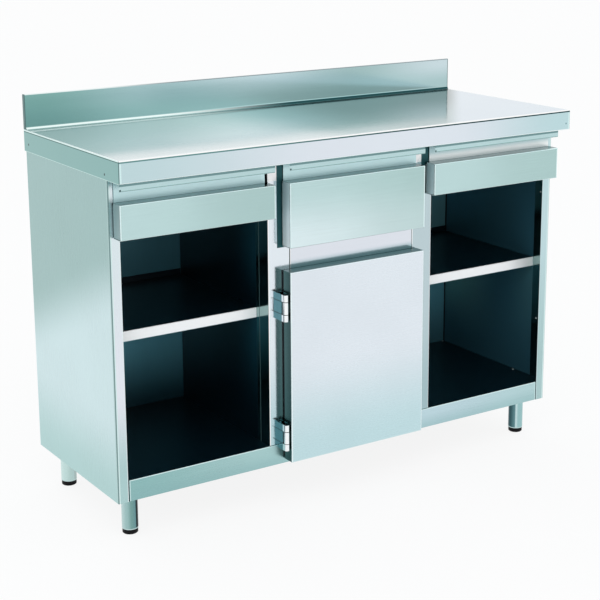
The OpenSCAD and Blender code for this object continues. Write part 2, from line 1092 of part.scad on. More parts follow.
// Tube of a leg with the flange welded to its top
module leg(x, y) {
    top = base_z - flange_t;
    color(bright_steel)
        difference() {
            union() {
                translate([x, y, tube_foot])
                    cylinder(d = leg_d, h = top - tube_foot);
                block(
                    [x - flange_w / 2, y - flange_w / 2, top],
                    [x + flange_w / 2, y + flange_w / 2, base_z]
                );
            }
            translate([x, y, tube_foot - cut])
                cylinder(d = leg_d - 2 * leg_wall, h = top - tube_foot + cut);
            at_bolts(x, y)
                translate([0, 0, -flange_t - cut])
                    cylinder(d = bolt_d + 2 * clear, h = flange_t + 2 * cut);
        }
}

module front_left_leg() {
    leg(-leg_x, leg_front);
}

module front_right_leg() {
    leg(leg_x, leg_front);
}

module rear_left_leg() {
    leg(-leg_x, leg_rear);
}

module rear_right_leg() {
    leg(leg_x, leg_rear);
}

// Threaded inserts in the feet of the tubes
module leg_inserts() {
    color(black_plastic)
        at_legs()
            translate([0, 0, tube_foot])
                difference() {
                    cylinder(d = leg_d - 2 * leg_wall, h = insert_h);
                    translate([0, 0, -cut])
                        cylinder(d = stem_d + 2 * clear, h = insert_h + 2 * cut);
                }
}

// Places a child at every bolt of all four legs
module at_all_bolts() {
    for (x = [-leg_x, leg_x])
        for (y = [leg_front, leg_rear])
            at_bolts(x, y)
                children();
}

// Bolts that hold the flanges of the legs to the beams
module leg_bolts() {
    head_h = bolt_d * hex_head;
    color(steel)
        at_all_bolts() {
            translate([0, 0, -flange_t - head_h])
                cylinder(d = bolt_d * hex_w, h = head_h, $fn = 6);
            translate([0, 0, -flange_t - head_h / 2])
                cylinder(d = bolt_d, h = flange_t + head_h / 2 + beam_sheet + bolt_d);
        }
}

// Nuts on those bolts, inside the beams
module leg_nuts() {
    color(steel)
        at_all_bolts()
            translate([0, 0, beam_sheet])
                difference() {
                    cylinder(d = bolt_d * hex_w, h = bolt_d * hex_nut, $fn = 6);
                    translate([0, 0, -cut])
                        cylinder(d = bolt_d, h = bolt_d * hex_nut + 2 * cut);
                }
}

// Levelling foot: a round plastic pad on a threaded stem
module foot(x, y) {
    pad_d = leg_d - 2 * pad_inset;
    stem_top = tube_foot + insert_h + stem_over;
    color(black_plastic)
        translate([x, y, 0]) {
            cylinder(d1 = pad_d - 2 * foot_chamfer, d2 = pad_d, h = foot_chamfer);
            translate([0, 0, foot_chamfer])
                cylinder(d = pad_d, h = foot_h - foot_chamfer);
            translate([0, 0, foot_h - cut])
                cylinder(d = stem_d, h = stem_top - foot_h + cut);
        }
}

module front_left_foot() {
    foot(-leg_x, leg_front);
}

module front_right_foot() {
    foot(leg_x, leg_front);
}

module rear_left_foot() {
    foot(-leg_x, leg_rear);
}

module rear_right_foot() {
    foot(leg_x, leg_rear);
}

worktop();
worktop_board();
worktop_screws();
top_front_rail();
top_back_rail();
left_side_panel();
right_side_panel();
left_divider_post();
right_divider_post();
left_divider_panel();
right_divider_panel();
cross_rail();
back_panel();
base_tray();
left_base_beam();
right_base_beam();
left_shelf();
right_shelf();
left_shelf_angles();
right_shelf_angles();
left_runner_spacer();
right_runner_spacer();
left_outer_runners();
centre_outer_runners();
right_outer_runners();
left_middle_runners();
centre_middle_runners();
right_middle_runners();
left_inner_runners();
centre_inner_runners();
right_inner_runners();
left_drawer_front();
centre_drawer_front();
right_drawer_front();
left_drawer_box();
centre_drawer_box();
right_drawer_box();
knock_bar();
knock_bar_sleeve();
fixed_hinge_leaves();
hinge_pins();
door_hinge_leaves();
door_hinge_screws();
door_outer_panel();
door_inner_panel();
door_core();
door_buffers();
door_strike_plate();
magnetic_catch();
front_left_leg();
front_right_leg();
rear_left_leg();
rear_right_leg();
leg_inserts();
leg_bolts();
leg_nuts();
front_left_foot();
front_right_foot();
rear_left_foot();
rear_right_foot();
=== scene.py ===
# %% [markdown]
# # A coffee station counter in brushed steel
# The counter is folded from thin stainless sheet. Its exact solids come from the
# imported frame, so this lesson dresses them: it gives every surface its brushed finish
# with painted light, shade and reflections laid over it, softens the edges of the
# sheets that show, adds the small screws, and lights it.

# %% Load the frame
import json
import math

import bpy
from mathutils import Matrix, Vector

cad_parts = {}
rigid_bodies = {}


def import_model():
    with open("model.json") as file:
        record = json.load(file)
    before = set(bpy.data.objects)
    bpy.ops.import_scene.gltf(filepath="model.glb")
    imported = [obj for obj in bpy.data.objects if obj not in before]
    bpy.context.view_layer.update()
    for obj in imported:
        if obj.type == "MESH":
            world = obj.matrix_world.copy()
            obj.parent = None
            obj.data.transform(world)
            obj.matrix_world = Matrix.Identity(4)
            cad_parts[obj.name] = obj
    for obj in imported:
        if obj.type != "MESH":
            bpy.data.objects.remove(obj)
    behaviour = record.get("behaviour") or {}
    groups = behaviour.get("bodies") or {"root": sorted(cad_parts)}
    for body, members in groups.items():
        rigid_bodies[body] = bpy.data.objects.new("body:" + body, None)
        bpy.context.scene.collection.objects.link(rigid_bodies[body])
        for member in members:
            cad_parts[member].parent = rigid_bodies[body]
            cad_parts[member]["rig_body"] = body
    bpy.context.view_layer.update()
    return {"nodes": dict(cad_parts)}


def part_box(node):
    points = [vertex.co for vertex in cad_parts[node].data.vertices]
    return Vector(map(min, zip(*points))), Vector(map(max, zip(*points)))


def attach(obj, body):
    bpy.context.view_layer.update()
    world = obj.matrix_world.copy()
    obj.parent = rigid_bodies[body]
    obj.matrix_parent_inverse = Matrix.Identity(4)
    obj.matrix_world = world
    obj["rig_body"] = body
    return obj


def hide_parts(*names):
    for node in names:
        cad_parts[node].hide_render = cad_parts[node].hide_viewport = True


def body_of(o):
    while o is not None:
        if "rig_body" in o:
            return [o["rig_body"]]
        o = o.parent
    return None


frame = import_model()
nodes = frame["nodes"]

# %% [markdown]
# ## The camera
# The photograph was taken from the front left, a little above the worktop. A camera
# needs a place, a direction and a lens. Working with yaw, pitch and roll keeps each of
# them readable. A small vertical shift keeps the upright edges close to upright.

# %% Place the camera
CAMERA_PLACE = Vector((-2.3007, -3.5175, 1.7005))
CAMERA_YAW = 0.5742
CAMERA_PITCH = 0.2277
CAMERA_ROLL = -0.0061
LENS_MM = 87.68
SENSOR_MM = 36
SHIFT_UP = -0.12

camera_data = bpy.data.cameras.new("camera")
camera = bpy.data.objects.new("camera", camera_data)
bpy.context.scene.collection.objects.link(camera)
turn = (
    Matrix.Rotation(-CAMERA_YAW, 4, "Z")
    @ Matrix.Rotation(math.pi / 2 - CAMERA_PITCH, 4, "X")
    @ Matrix.Rotation(CAMERA_ROLL, 4, "Z")
)
camera.matrix_world = Matrix.Translation(CAMERA_PLACE) @ turn
camera_data.sensor_width = SENSOR_MM
camera_data.lens = LENS_MM
camera_data.shift_y = SHIFT_UP
bpy.context.scene.camera = camera
print("camera at", tuple(round(v, 3) for v in CAMERA_PLACE))

# %% [markdown]
# ## Sums on sockets
# A procedural finish is mostly arithmetic on patterns. Adding each Math node by hand
# hides the formula, so this class wraps a socket and lets Python write it down. Its
# `ramp` is a soft step, and `between` is a soft band, which is all a mask needs. The
# steps at a fold or an edge are 0.4 mm wide, so that no line looks cut out.

# %% A socket that can be added and multiplied
STEP = 0.0002


class Value:
    def __init__(self, tree, socket):
        self.tree = tree
        self.socket = socket

    def sum_of(self, operation, *terms):
        return self.tree.add("ShaderNodeMath", {"operation": operation}, dict(enumerate(terms)))

    def __add__(self, other):
        return self.sum_of("ADD", self, other)

    def __sub__(self, other):
        return self.sum_of("SUBTRACT", self, other)

    def __rsub__(self, other):
        return self.sum_of("SUBTRACT", other, self)

    def __mul__(self, other):
        return self.sum_of("MULTIPLY", self, other)

    __radd__ = __add__
    __rmul__ = __mul__

    def size(self):
        return self.sum_of("ABSOLUTE", self)

    def larger(self, other):
        return self.sum_of("MAXIMUM", self, other)

    def ramp(self, low, high):
        inputs = {"Value": self, "From Min": low, "From Max": high}
        return self.tree.add("ShaderNodeMapRange", {"interpolation_type": "SMOOTHSTEP"}, inputs)

    def above(self, limit):
        return self.ramp(limit - STEP, limit + STEP)

    def below(self, limit):
        return 1 - self.above(limit)

    def between(self, low, high):
        return self.above(low) * self.below(high)


print("a step is", STEP * 2000, "mm wide")

# %% [markdown]
# Every other node comes from one method, `add`, which takes the node's kind, its
# settings and what goes into its sockets. The floor and the sky use it as well. A Mix
# node has one set of sockets for each kind of data, so those for colours go by number.

# %% A tree of nodes
MIX_FACTOR, MIX_FIRST, MIX_SECOND, MIX_RESULT = 0, 6, 7, 2
BLACK = (0.0, 0.0, 0.0, 1.0)
WHITE = (1.0, 1.0, 1.0, 1.0)


class Tree:
    def __init__(self, owner):
        owner.use_nodes = True
        self.nodes = owner.node_tree.nodes
        self.links = owner.node_tree.links
        self.nodes.clear()

    def add(self, kind, settings=None, inputs=None, output=0):
        node = self.nodes.new(kind)
        for key, value in (settings or {}).items():
            setattr(node, key, value)
        for key, value in (inputs or {}).items():
            if isinstance(value, Value):
                self.links.new(value.socket, node.inputs[key])
            else:
                node.inputs[key].default_value = value
        return Value(self, node.outputs[output]) if node.outputs else node

    def coordinate(self, axis):
        place = self.add("ShaderNodeTexCoord", output="Object")
        return self.add("ShaderNodeSeparateXYZ", inputs={0: place}, output=axis)

    def noise(self, stretch, detail):
        place = self.add("ShaderNodeTexCoord", output="Object")
        spread = self.add("ShaderNodeMapping", inputs={"Vector": place, "Scale": stretch})
        inputs = {"Vector": spread, "Scale": 1.0, "Detail": detail}
        return self.add("ShaderNodeTexNoise", inputs=inputs)

    def blend(self, factor, first, second):
        inputs = {MIX_FACTOR: factor, MIX_FIRST: first, MIX_SECOND: second}
        return self.add("ShaderNodeMix", {"data_type": "RGBA"}, inputs, MIX_RESULT)

    def darken(self, factor, colour):
        inputs = {MIX_FACTOR: factor, MIX_FIRST: colour, MIX_SECOND: BLACK}
        settings = {"data_type": "RGBA", "blend_type": "MULTIPLY"}
        return self.add("ShaderNodeMix", settings, inputs, MIX_RESULT)

    def sweep(self, value, *stops):
        place, colour = stops[0]
        for next_place, next_colour in stops[1:]:
            colour = self.blend(value.ramp(place, next_place), colour, next_colour)
            place = next_place
        return colour


print("nodes come from one method")

# %% [markdown]
# ## Colours as they are seen
# It is easiest to judge a colour on screen, from 0 to 255. Blender works with the
# amount of light instead, so `tone` turns one into the other by the rule that screens
# use.

# %% Screen colour to light
def tone(*levels):
    light = []
    for level in levels:
        part = level / 255
        light.append(part / 12.92 if part <= 0.04045 else ((part + 0.055) / 1.055) ** 2.4)
    return (*light, 1.0)


print("middle grey", [round(v, 3) for v in tone(128, 128, 128)])

# %% [markdown]
# ## A finish that is painted in layers
# Folded sheet shows a different tone on each of its faces: the face towards the light,
# the rolled edge that catches a highlight, the return that lies in shade. Here these
# tones are painted light, shade and reflections. A finish starts with one colour, and
# each `paint` lays another over a part of it, chosen by its place. `resurface` changes
# how metallic and how rough that part is as well.

# %% The finish
class Finish(Tree):
    def __init__(self, name, colour, metal, rough):
        self.material = bpy.data.materials.new(name)
        super().__init__(self.material)
        self.colour = colour
        self.metal = metal
        self.rough = rough
        self.x, self.y, self.z = (self.coordinate(axis) for axis in "XYZ")

    def paint(self, mask, colour):
        self.colour = self.blend(mask, self.colour, colour)

    def resurface(self, mask, colour, metal, rough):
        self.paint(mask, colour)
        self.metal = mask * metal + (1 - mask) * self.metal
        self.rough = mask * rough + (1 - mask) * self.rough

    def bump(self, height, strength, distance):
        inputs = {"Strength": strength, "Distance": distance, "Height": height}
        return self.add("ShaderNodeBump", inputs=inputs)

    def close(self, bump, shine=0.5):
        inputs = {
            "Base Color": self.colour, "Roughness": self.rough, "Metallic": self.metal,
            "Normal": bump, "Specular IOR Level": shine,
        }
        shader = self.add("ShaderNodeBsdfPrincipled", inputs=inputs)
        self.add("ShaderNodeOutputMaterial", inputs={"Surface": shader})
        return self.material


finishes = {}
print("finishes so far", len(finishes))

# %% [markdown]
# ## Brushed sheet
# Brushing leaves fine scratches in one direction. They show as faint streaks, and
# they spread a reflection across themselves. A noise stretched a few hundred times
# along one axis gives the streaks, and a broad soft noise gives the cloudiness that
# handling leaves. Painting an image would blur in close views, so both are patterns.

# %% Brushed sheet
FINE = 900.0
LONG = 6.0
BROAD = 5.0
SCRATCH_DEPTH = 0.0002
GRAIN = {
    "x": (LONG, FINE, FINE),
    "z": (FINE, FINE, LONG),
    "round": (FINE * 0.1, FINE * 0.1, FINE),
}


def brushed(name, colour, grain, rough, layers=None, streaks=0.06, clouds=0.07, depth=0.02):
    finish = Finish(name, colour, 1.0, rough)
    if layers:
        layers(finish)
    streak = finish.noise(GRAIN[grain], 2.0)
    cloud = finish.noise((BROAD, BROAD, BROAD), 4.0)
    shade = (1 - streak) * (streaks * 2) + (1 - cloud) * (clouds * 2) - (streaks + clouds) * 0.8
    finish.colour = finish.darken(shade.larger(0.0), finish.colour)
    finish.rough = streak * 0.08 + cloud * 0.05 - 0.06 + finish.rough
    return finish.close(finish.bump(streak, depth, SCRATCH_DEPTH))


print("grains", list(GRAIN))

# %% [markdown]
# Moulded plastic, rubber, board and the small turned screws have no direction. They
# get fine even grit instead of streaks.

# %% Even grit
GRIT_DEPTH = 0.0003
GRIT_STRENGTH = 0.05


def moulded(name, colour, rough, metal=0.0, grit=400.0, shine=0.5):
    finish = Finish(name, colour, metal, rough)
    grains = finish.noise((grit, grit, grit), 3.0)
    finish.colour = finish.darken((1 - grains) * 0.4, finish.colour)
    finish.rough = grains * 0.1 - 0.05 + finish.rough
    return finish.close(finish.bump(grains, GRIT_STRENGTH, GRIT_DEPTH), shine)


print("grit is", GRIT_DEPTH * 1000, "mm deep")

# %% [markdown]
# ## Places on the counter
# The masks need to know where a fold or a face lies. The frame says where each piece
# is, so nearly every place is read from it. Only what lies inside a piece, such as the
# top of a drawer's face under its lip, is written here.

# %% Places read from the frame
SKIN = 0.0004
FOLD = 0.0025
TOP_SHEET = 0.0015
BODY_SHEET = 0.0012
SPLASH_THICK = 0.012
TOP_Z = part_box("worktop_board")[1].z + TOP_SHEET
TOP_LOW, TOP_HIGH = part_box("worktop")
APRON_FOOT = TOP_LOW.z
SPLASH_FACE = TOP_HIGH.y - SPLASH_THICK
BODY_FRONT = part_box("left_side_panel")[0].y
BODY_SIDE, BODY_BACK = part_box("right_side_panel")[1].xy
RETURN_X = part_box("top_front_rail")[1].x
SHELF_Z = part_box("right_shelf_angles")[1].z + BODY_SHEET
SHELF_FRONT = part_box("right_shelf")[0].y
SHELF_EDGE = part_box("right_shelf")[0].z
FACE_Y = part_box("door_outer_panel")[0].y
FRONT_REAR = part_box("door_outer_panel")[1].y
FACE_TOP = 0.931
LIP_FOOT = 0.965
print("worktop at", round(TOP_Z, 4), "apron foot at", round(APRON_FOOT, 4))
print("body from", round(BODY_FRONT, 4), "to", round(BODY_BACK, 4), "shelf at", round(SHELF_Z, 4))

# %% [markdown]
# ## The worktop
# One sheet forms the apron, the plate, the cove and the splash. The plate is polished
# nearly to a mirror and shows the splash standing in it, as far as the splash's right
# end. Its tone along the counter is a painted reflection, pale on the left and darker
# where it shows the splash. Towards the left it is less of a mirror and has a painted
# pale sheen at the front. The image of the splash is painted where it is deepest and
# left to the shader elsewhere. A painted highlight lies along the front edge and a
# painted shade in front of the cove.

# %% The plate
def plate_layers(sheet):
    x, y = sheet.x, sheet.y
    # Painted reflection along the counter: pale on the left, darker where the splash shows
    plate = sheet.sweep(
        x, (-0.66, tone(228, 238, 238)), (-0.30, tone(244, 249, 247)),
        (0.0, tone(168, 195, 196)), (0.25, tone(152, 177, 177)),
    )
    # Masks of the painted sheen, the painted reflections of the splash and past its end, the
    # painted highlight at the front edge and the painted shade before the cove
    front_left_sheen = y.ramp(-0.08, -0.22) * x.ramp(0.0, -0.2)
    splash_reflection = y.ramp(-0.22, 0.16) * x.ramp(-0.1, 0.25)
    past_splash_reflection = (x - y * 0.8).ramp(0.51, 0.58)
    front_highlight = y.ramp(-0.275, -0.294) * x.ramp(0.60, 0.40) * 0.3
    shade_before_cove = y.between(0.232, 0.284) * x.ramp(0.25, 0.0) * 0.75
    for mask, colour in (
        (front_left_sheen, tone(222, 232, 233)),
        (splash_reflection, tone(84, 110, 108)),
        (past_splash_reflection, tone(206, 220, 231)),
        (front_highlight, tone(252, 255, 255)),
        (shade_before_cove, tone(140, 172, 172)),
    ):
        plate = sheet.blend(mask, plate, colour)
    mirror = 1 - x.ramp(0.10, -0.22) * 0.45
    sheet.resurface(sheet.z.between(TOP_Z - 0.001, TOP_Z + 0.001), plate, mirror, sheet.rough)


print("splash stands at", round(SPLASH_FACE, 3))

# %% [markdown]
# The splash's tone is painted shade and reflection, a soft gradient that changes along
# the counter and from its foot to its top. The cove at its foot is painted bright on the
# left and dark on the right, as a reflection, because it gathers whatever stands in
# front of it into one narrow line. The top edge of the splash is painted pale on the
# left and dark on the right in the same way.

# %% The splash
COVE_FROM = 0.2


def splash_layers(sheet):
    x, y, z = sheet.x, sheet.y, sheet.z
    # Painted shade and reflection along the foot and the top of the splash
    low = sheet.sweep(
        x, (-0.72, tone(118, 163, 160)), (-0.35, tone(147, 188, 188)),
        (-0.02, tone(176, 212, 213)), (0.38, tone(166, 203, 204)), (0.72, tone(173, 202, 204)),
    )
    high = sheet.sweep(
        x, (-0.72, tone(129, 175, 170)), (-0.35, tone(166, 198, 201)),
        (0.0, tone(197, 221, 226)), (0.38, tone(166, 195, 195)), (0.72, tone(204, 222, 227)),
    )
    splash = sheet.blend(z.ramp(TOP_Z + 0.02, TOP_Z + 0.09), low, high)
    sheet.paint(z.above(TOP_Z + 0.0008), splash)
    # Painted reflection in the cove, bright on the left and dark on the right
    cove = sheet.blend(x.ramp(-0.35, 0.15), tone(238, 254, 252), tone(32, 78, 82))
    in_cove = z.between(TOP_Z + 0.001, TOP_Z + 0.007) * y.between(COVE_FROM, SPLASH_FACE + 0.001)
    sheet.paint(in_cove, cove)
    # Painted highlight and shade along the splash's top edge
    rim = sheet.blend(x.ramp(-0.55, -0.25), tone(235, 245, 245), tone(140, 156, 160))
    sheet.paint(z.above(TOP_HIGH.z - 0.0022), rim)
    sheet.paint(y.above(TOP_HIGH.y - SKIN), tone(178, 206, 208))


print("splash top at", round(TOP_HIGH.z, 3))

# %% [markdown]
# The rolled front edge is painted white, a highlight, over a thin painted dark line, the
# reflection where it turns from the sky to the room. The apron's tone along the counter
# is painted reflection, and a painted pale highlight runs along its foot. The small dark
# dots near the ends of the aprons and of the drawers' lips are too small for a shape of
# their own, so they are painted.

# %% The front apron
APRON_DOT = (0.736, 1.010)
SMALL_DOT = 0.0022
LARGE_DOT = 0.0027


def dot(across, up, place, size):
    return (across - place[0]).size().larger((up - place[1]).size()).below(size)


def apron_layers(sheet):
    x, y, z = sheet.x, sheet.y, sheet.z
    # Painted reflection along the apron
    apron = sheet.sweep(
        x, (-0.75, tone(194, 218, 222)), (-0.1, tone(225, 232, 240)),
        (0.3, tone(224, 232, 240)), (0.72, tone(192, 220, 224)),
    )
    on_front = y.below(TOP_LOW.y + TOP_SHEET) * z.below(TOP_Z - 0.004)
    sheet.paint(on_front, apron)
    # Painted dark line under the rolled edge, part of its reflection
    line = sheet.blend(x.ramp(-0.6, 0.4), tone(104, 146, 146), tone(24, 66, 70))
    sheet.paint(y.below(TOP_LOW.y + 0.003) * z.between(TOP_Z - 0.0062, TOP_Z - 0.0026), line)
    # Painted white highlight on the rolled edge
    rolled = y.below(TOP_LOW.y + 0.006) * z.between(TOP_Z - 0.0024, TOP_Z + 0.0005)
    sheet.paint(rolled, tone(255, 255, 255))
    # Painted pale highlight along the apron's foot
    sheet.paint(on_front * z.below(APRON_FOOT + 0.003), tone(244, 255, 255))
    sheet.paint(on_front * dot(x, z, APRON_DOT, SMALL_DOT), tone(120, 156, 160))


print("front apron", round((TOP_Z - APRON_FOOT) * 1000), "mm high")

# %% [markdown]
# The end aprons turn away from the light, so they are painted in shade. Each has the
# same painted bright edge above a painted dark line, a dark upright line at the corner,
# a painted pale upright beside it and a pale one along its foot, all painted highlights
# and shade. The end of the splash is painted darker as shade.

# %% The ends
END_DOTS = ((0.270, 1.0118), (-0.2156, 1.0042))


def end_layers(sheet):
    x, y, z = sheet.x, sheet.y, sheet.z
    out = x.size()
    end = out.above(TOP_HIGH.x - SKIN) * z.below(TOP_Z + 0.001)
    # Painted shade over the end apron
    sheet.paint(end, tone(141, 183, 180))
    rim = out.above(TOP_HIGH.x - 0.004) * z.between(TOP_Z - 0.001, TOP_Z + 0.001)
    sheet.resurface(rim, tone(255, 255, 255), 0.3, 0.3)
    sheet.paint(end * z.between(TOP_Z - 0.0055, TOP_Z - 0.003), tone(72, 112, 110))
    sheet.paint(end * z.above(TOP_Z - 0.003), tone(232, 255, 252))
    sheet.paint(end * y.below(TOP_LOW.y + 0.004), tone(70, 110, 110))
    sheet.paint(end * z.below(APRON_FOOT + 0.0015), tone(196, 226, 222))
    upright = out.between(TOP_HIGH.x - 0.006, TOP_HIGH.x - 0.001) * z.below(TOP_Z - 0.007)
    sheet.paint(upright * y.below(TOP_LOW.y + 0.001), tone(214, 240, 240))
    # Painted shade on the end of the splash
    splash_end = out.above(TOP_HIGH.x - 0.0025) * z.above(TOP_Z + 0.002)
    sheet.paint(splash_end, tone(92, 122, 122))
    for place in END_DOTS:
        sheet.paint(end * dot(y, z, place, LARGE_DOT), tone(10, 32, 32))


def worktop_layers(sheet):
    plate_layers(sheet)
    splash_layers(sheet)
    apron_layers(sheet)
    end_layers(sheet)


finishes["worktop"] = brushed(
    "worktop_steel", tone(230, 237, 242), "x", 0.11, worktop_layers, streaks=0.03, clouds=0.04
)
print("worktop nodes", len(finishes["worktop"].node_tree.nodes))

# %% [markdown]
# ## The side panels
# A side panel is brushed upwards. It is painted deeper in tone near the worktop, as the
# shade of the worktop, which keeps the light off it, and painted shade makes it darker
# towards its foot as well. Where it folds into the narrow return at the front, painted
# light and shade draw a pale line, then a dark one on the fold itself, then another pale
# one. The returns' own tones are painted light too.

# %% Outside of a side panel
def side_outside(sheet):
    x, y, z = sheet.x, sheet.y, sheet.z
    out, on_right = x.size(), x.above(0)
    # Painted shade under the worktop and towards the foot
    sheet.paint((z + y * 0.45).ramp(0.52, 0.72), tone(163, 195, 193))
    sheet.paint(z.ramp(0.36, 0.13), tone(178, 213, 212))
    # Painted light on the returns, and painted highlights and shade beside and on the fold
    returned = y.below(BODY_FRONT + 0.001)
    left = sheet.sweep(
        z, (0.18, tone(180, 213, 213)), (0.42, tone(234, 238, 246)), (0.80, tone(226, 238, 242))
    )
    right = sheet.sweep(z, (0.25, tone(176, 206, 207)), (0.70, tone(196, 222, 226)))
    sheet.paint(returned, sheet.blend(on_right, left, right))
    inner_line = sheet.blend(on_right, tone(238, 250, 252), tone(206, 228, 230))
    sheet.paint(returned * out.below(RETURN_X + FOLD), inner_line)
    beside_fold = out.above(BODY_SIDE - SKIN) * y.between(BODY_FRONT + 0.0035, BODY_FRONT + 0.007)
    sheet.paint(beside_fold, tone(186, 216, 214))
    sheet.paint(returned * out.above(BODY_SIDE - 0.006), tone(220, 244, 243))
    fold = sheet.blend(on_right, tone(80, 110, 110), tone(140, 172, 172))
    sheet.paint(out.above(BODY_SIDE - FOLD) * y.below(BODY_FRONT + FOLD), fold)


print("return from", round(RETURN_X, 3), "to", round(BODY_SIDE, 3))

# %% [markdown]
# ## Shade in the bays
# The open bays are dark, and a little light falls into each half from above. Steel in
# the dark mirrors only more dark, so there the sheet is made duller and takes its tone
# from paint. A polished strip stays in front of the shelf, where the light still comes.

# %% Shade
DULL = 0.3
# Colours of the painted shade in the bays and of the painted pool of light in them
DEEP_SHADE = tone(4, 26, 36)
POOL_OF_LIGHT = tone(28, 84, 100)
BAY_CEILING = 0.76


def shade(sheet, mask, colour):
    sheet.resurface(mask, colour, DULL, DULL)


def bay_light(sheet, front, back):
    lower = sheet.z.ramp(0.22, SHELF_EDGE) * sheet.z.below(SHELF_EDGE)
    upper = sheet.z.ramp(SHELF_Z, BAY_CEILING)
    return (lower + upper) * (sheet.y.ramp(-0.02, -0.22) * front + sheet.y.ramp(0.0, 0.26) * back)


def polished_strip(sheet, mask):
    sheet.resurface(mask * sheet.y.below(SHELF_FRONT), tone(160, 188, 186), 1.0, 0.12)


print("bays are", [round(v, 4) for v in DEEP_SHADE[:3]])

# %% [markdown]
# The inner face of a side panel is the wall of a bay. Its painted shade is a little
# lighter than the dividers', with painted light falling in from above, and it is
# painted nearly black as shade in the corner at the back.

# %% Inside of a side panel
def side_inside(sheet):
    y, z = sheet.y, sheet.z
    within = y.between(BODY_FRONT + SKIN, BODY_BACK - SKIN)
    inside = sheet.x.size().below(BODY_SIDE - SKIN) * within
    light = sheet.blend(z.above(SHELF_Z), tone(132, 190, 184), tone(60, 122, 148))
    shade(sheet, inside, sheet.blend(bay_light(sheet, 0.2, 1.0), tone(52, 98, 114), light))
    sheet.paint(inside * y.above(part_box("back_panel")[0].y - 0.007), tone(0, 4, 6))
    polished_strip(sheet, inside)


def side_layers(sheet):
    side_outside(sheet)
    side_inside(sheet)


finishes["side"] = brushed(
    "side_steel", tone(210, 233, 236), "z", 0.28, side_layers, streaks=0.03, clouds=0.06
)
print("side panel nodes", len(finishes["side"].node_tree.nodes))

# %% [markdown]
# ## The base
# The base rail is one sheet with the floor of the bays. Its face is painted with a soft
# gradient of reflection and shade, darker towards its foot, with a painted highlight along
# the top, a painted pale line beside each seam, and a dark seam beside each side panel.
# The floor of the bays is painted in their shade.

# %% Base
def base_layers(sheet):
    x, y, z = sheet.x, sheet.y, sheet.z
    foot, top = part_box("base_tray")[0].z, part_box("base_tray")[1].z
    # Painted reflection and shade along the rail and towards its foot
    along = sheet.sweep(
        x, (-0.70, tone(150, 194, 193)), (-0.30, tone(172, 208, 208)), (0.0, tone(196, 224, 228)),
        (0.35, tone(193, 218, 226)), (0.70, tone(184, 214, 217)),
    )
    sheet.paint(z.above(foot - 0.001), along)
    sheet.paint(z.ramp(top - 0.012, foot) * 0.5, tone(146, 188, 190))
    in_front = y.below(BODY_FRONT + 0.002)
    sheet.paint(in_front * z.above(top - 0.0024), tone(222, 246, 246))
    sheet.paint(in_front * x.size().above(RETURN_X - 0.006), tone(206, 234, 234))
    sheet.paint(in_front * x.size().above(RETURN_X - 0.003), tone(20, 60, 64))
    shade(sheet, y.above(BODY_FRONT + FOLD), DEEP_SHADE)


finishes["base"] = brushed("base_steel", tone(140, 178, 180), "x", 0.28, base_layers)
print("base nodes", len(finishes["base"].node_tree.nodes))

# %% [markdown]
# ## The posts
# The two posts are polished. Their folds are painted as bright lines, and on each the
# edge of the drawer on its right is painted as a dark upright strip, its reflection,
# which comes down to that drawer's foot. Towards its foot a post is painted darker, with
# a dark painted line at the bottom. Above the drawers' faces a post is painted white, the
# light in the finger gaps. Behind its first fold it is painted in the shade of a bay, as
# far as its pale rear edge. The right post's tones are darker, as painted shade.

# %% Posts
def post_layers(name, drawer, drop, low_shade):
    low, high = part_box(name)
    middle, half = (low.x + high.x) / 2, (high.x - low.x) / 2
    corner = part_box(drawer)[0]

    def layers(sheet):
        y, z = sheet.y, sheet.z
        off = (sheet.x - middle).size()
        outer, behind = off.above(half - SKIN), y.above(low.y + 0.001)
        # Painted shade towards the post's foot
        sheet.paint(z.ramp(0.50, 0.20), low_shade)
        sheet.resurface(z.above(FACE_TOP + 0.002), tone(255, 255, 255), 0.7, 0.3)
        sheet.paint(off.above(half - FOLD), tone(255, 255, 255))
        # Painted reflection of the drawer's side, a dark upright strip
        strip = sheet.x.between(corner.x - 0.017, corner.x + 0.011) * z.above(corner.z - drop)
        sheet.resurface(strip, tone(40, 84, 88), 0.8, 0.3)
        sheet.paint(z.below(low.z + 0.0016), tone(70, 104, 106))
        shade(sheet, behind, DEEP_SHADE)
        polished_strip(sheet, outer * behind)
        shade(sheet, outer * y.above(high.y - 0.003), tone(104, 140, 142))

    return layers


def post_finish(name, colour, low_shade, drawer, drop):
    layers = post_layers(name, drawer, drop, low_shade)
    return brushed(name + "_steel", colour, "z", 0.13, layers, streaks=0.03, clouds=0.03)


finishes["left_post"] = post_finish(
    "left_divider_post", tone(228, 236, 242), tone(184, 212, 218), "centre_drawer_front", 0.004
)
finishes["right_post"] = post_finish(
    "right_divider_post", tone(190, 208, 213), tone(166, 192, 197), "right_drawer_front", 0.0
)

# %% [markdown]
# The cross rail between the posts is polished as they are. Its ends butt against them,
# so it has a dark seam at either end. It is painted darker towards its foot as shade,
# a painted highlight runs beside its left seam, and behind its front it is painted in
# the shade of the bays.

# %% Cross rail
RAIL_SEAM = 0.0016


def cross_layers(sheet):
    low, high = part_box("cross_rail")
    # Painted shade towards the foot, dark seams, and a painted highlight beside the left seam
    sheet.paint(sheet.z.ramp(0.708, 0.682), tone(150, 184, 190))
    ends = sheet.x.below(low.x + RAIL_SEAM).larger(sheet.x.above(high.x - RAIL_SEAM))
    sheet.paint(ends, tone(52, 82, 86))
    sheet.paint(sheet.x.between(low.x + RAIL_SEAM, low.x + 0.0036), tone(252, 254, 255))
    shade(sheet, sheet.y.above(low.y + 0.001), DEEP_SHADE)


finishes["cross"] = brushed(
    "cross_steel", tone(223, 228, 236), "x", 0.13, cross_layers, streaks=0.03, clouds=0.03
)

